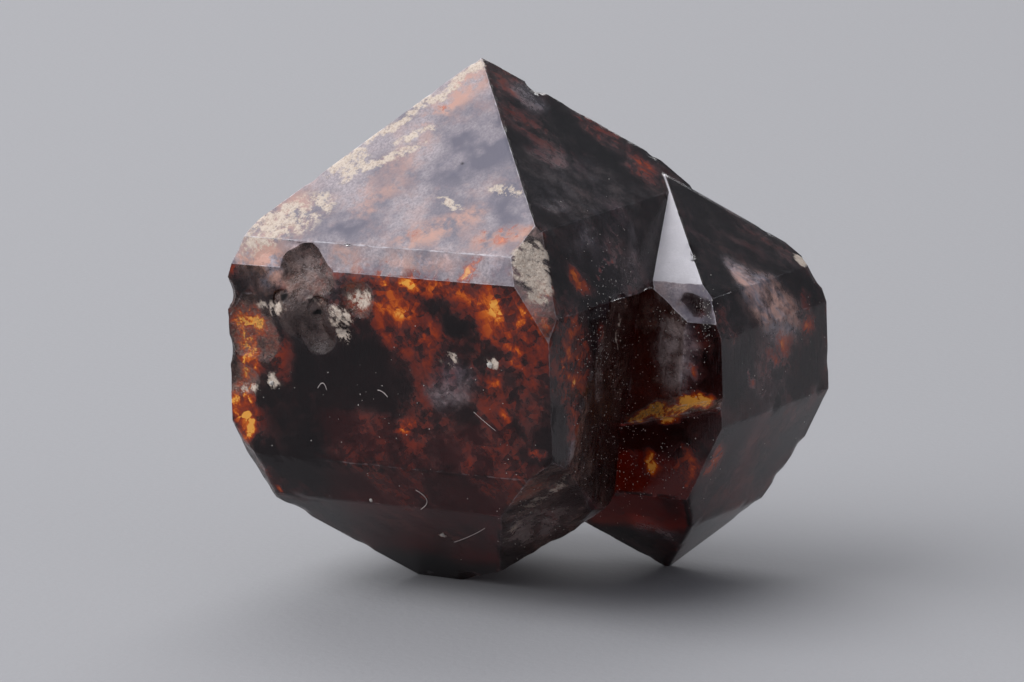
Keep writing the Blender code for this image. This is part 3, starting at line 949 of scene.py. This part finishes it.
def lint_mesh(surface):
    """Fibres of lint that lie on the crystal, as one mesh of thin tubes."""
    bm = bmesh.new()
    for (start, middle, end), radius in LINT.values():
        rings = []
        for step in range(FIBRE_STEPS + 1):
            t = step / FIBRE_STEPS
            pixel = [
                (1 - t) ** 2 * a + 2 * t * (1 - t) * (2 * b - (a + c) / 2) + t * t * c
                for a, b, c in zip(start, middle, end)
            ]
            place, normal = surface.seen_at(pixel)
            rings.append((place + normal * radius * MM, normal))
        add_tube(bm, rings, radius * MM)
    mesh = bpy.data.meshes.new("lint")
    bm.to_mesh(mesh)
    bm.free()
    mesh.shade_smooth()
    return mesh


def add_tube(bm, path, radius):
    """A closed tube along a path of places and the surface normals under them."""
    rings = []
    for index, (place, normal) in enumerate(path):
        before, after = path[max(index - 1, 0)][0], path[min(index + 1, len(path) - 1)][0]
        along = (after - before).normalized()
        side = along.cross(normal).normalized()
        over = side.cross(along)
        angles = [2 * math.pi * corner / FIBRE_SIDES for corner in range(FIBRE_SIDES)]
        rings.append([
            bm.verts.new(place + (side * math.cos(angle) + over * math.sin(angle)) * radius)
            for angle in angles
        ])
    for first, second in zip(rings, rings[1:]):
        for corner in range(FIBRE_SIDES):
            following = (corner + 1) % FIBRE_SIDES
            bm.faces.new((first[corner], first[following], second[following], second[corner]))
    bm.faces.new(rings[0][::-1])
    bm.faces.new(rings[-1])


def speck_material(name, colour):
    """A dull material for dust and lint."""
    graph = Graph(name)
    mottle = graph.noise("specks")
    shaded = tuple(channel * SPECK_SHADE for channel in colour)
    graph.plug(graph.shader.inputs["Base Color"], graph.mix(mottle, colour, shaded))
    graph.plug(graph.shader.inputs["Roughness"], graph.step("dull_specks", mottle))
    graph.plug(graph.shader.inputs["Normal"], graph.bump(mottle, SPECK_BUMP))
    return graph.material


# ---------------------------------------------------------------- stage
FLOOR_RADIUS = 1.5
FLOOR_SEGMENTS = 64
FLOOR_COLOUR = (0.33, 0.33, 0.35)
FLOOR_ROUGHNESS, FLOOR_BUMP = 0.85, 0.02
CLIP_START, CLIP_END = 0.01, 10.0
WORLD_COLOUR = (0.80, 0.82, 0.90)
WORLD_STRENGTH = 0.28
LIGHTS = {                          # direction from the object, distance, size, power in watts
    "key": ((-0.72, -0.12, 0.68), 0.42, 0.42, 1.9),
    "overhead": ((0.0, 0.35, 1.0), 0.60, 0.50, 0.6),
    "backdrop": ((0.0, 1.0, 0.75), 0.70, 0.50, 2.4),
    "right_fill": ((0.85, -0.45, 0.35), 0.60, 0.30, 0.15),
}


def make_floor():
    """A pale floor of fine matt paper."""
    bm = bmesh.new()
    bmesh.ops.create_circle(bm, cap_ends=True, radius=FLOOR_RADIUS, segments=FLOOR_SEGMENTS)
    mesh = bpy.data.meshes.new("floor")
    bm.to_mesh(mesh)
    bm.free()
    graph = Graph("floor_paper")
    graph.plug(graph.shader.inputs["Base Color"], FLOOR_COLOUR)
    graph.plug(graph.shader.inputs["Roughness"], FLOOR_ROUGHNESS)
    graph.plug(graph.shader.inputs["Normal"], graph.bump(graph.noise("paper"), FLOOR_BUMP))
    floor = bpy.data.objects.new("floor", mesh)
    floor.data.materials.append(graph.material)
    bpy.context.scene.collection.objects.link(floor)


def make_lights():
    """Soft boxes round the object, and an even grey surrounding."""
    world = bpy.data.worlds.new("surroundings")
    world.use_nodes = True
    background = world.node_tree.nodes["Background"]
    background.inputs["Color"].default_value = (*WORLD_COLOUR, 1.0)
    background.inputs["Strength"].default_value = WORLD_STRENGTH
    bpy.context.scene.world = world
    for name, (direction, distance, size, power) in LIGHTS.items():
        light = bpy.data.lights.new(name, "AREA")
        light.shape = "SQUARE"
        light.size = size
        light.energy = power
        lamp = bpy.data.objects.new(name, light)
        away = Vector(direction).normalized()
        lamp.location = LOOK_AT + away * distance
        lamp.rotation_euler = away.to_track_quat("Z", "Y").to_euler()
        bpy.context.scene.collection.objects.link(lamp)


def make_camera():
    """The photograph's view."""
    camera = bpy.data.cameras.new("camera")
    camera.sensor_width = SENSOR_WIDTH
    camera.lens = PIXELS_PER_MM * CAMERA_DISTANCE / MM / PHOTO_WIDTH * SENSOR_WIDTH
    camera.shift_x = (PHOTO_WIDTH / 2 - LOOK_AT_PIXEL[0]) / PHOTO_WIDTH
    camera.shift_y = (LOOK_AT_PIXEL[1] - PHOTO_HEIGHT / 2) / PHOTO_WIDTH
    camera.clip_start, camera.clip_end = CLIP_START, CLIP_END
    seat = bpy.data.objects.new("camera", camera)
    forward = view_axes()[2]
    seat.location = LOOK_AT - forward * CAMERA_DISTANCE
    seat.rotation_euler = forward.to_track_quat("-Z", "Y").to_euler()
    bpy.context.scene.collection.objects.link(seat)
    bpy.context.scene.camera = seat


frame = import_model()
node = frame["nodes"][NODE]
surface = Surface(node)

crystal = add_piece("crystal", fine_crystal(node, surface), zircon())
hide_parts(NODE)

add_piece("dust", dust_mesh(surface), speck_material("dust", GRAIN_COLOUR))
add_piece("lint", lint_mesh(surface), speck_material("lint", LINT_COLOUR))

make_floor()
make_lights()
make_camera()
bpy.context.scene.view_settings.view_transform = "Standard"
